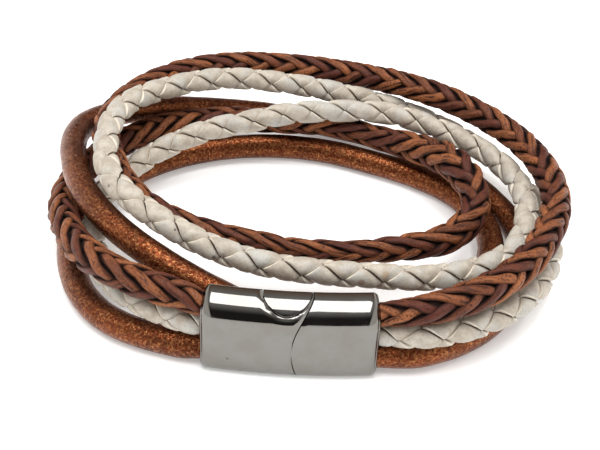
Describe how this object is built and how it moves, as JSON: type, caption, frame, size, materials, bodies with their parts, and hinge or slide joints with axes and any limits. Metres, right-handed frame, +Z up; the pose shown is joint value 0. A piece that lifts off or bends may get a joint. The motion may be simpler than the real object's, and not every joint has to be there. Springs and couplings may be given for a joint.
{
  "type": "leather wrap bracelet",
  "caption": "Wrap bracelet of smooth and braided leather cords that lie side by side and end in a curved magnetic clasp.",
  "frame": {"origin": "middle of the bracelet's box on the surface that it lies on", "axes": "+Z up from that surface, through the middle of the wrist opening; -Y towards the clasp; +X along the closed clasp, from its left half to its right half"},
  "size_m": [0.0764, 0.0668, 0.0173],
  "materials": {
    "clasp_steel": "polished",
    "copper_leather": "smooth with a metallic copper coat",
    "white_leather": "matt flat laces",
    "brown_leather": "waxed round laces"
  },
  "bodies": {
    "root": {"clasp_left": "clasp_steel", "clasp_right": "clasp_steel", "copper_cord_first_turn": "copper_leather", "copper_cord_second_turn": "copper_leather", "white_braid_first_turn": "white_leather", "white_braid_second_turn": "white_leather", "brown_braid_first_turn": "brown_leather", "brown_braid_second_turn": "brown_leather"}
  },
  "joints": []
}
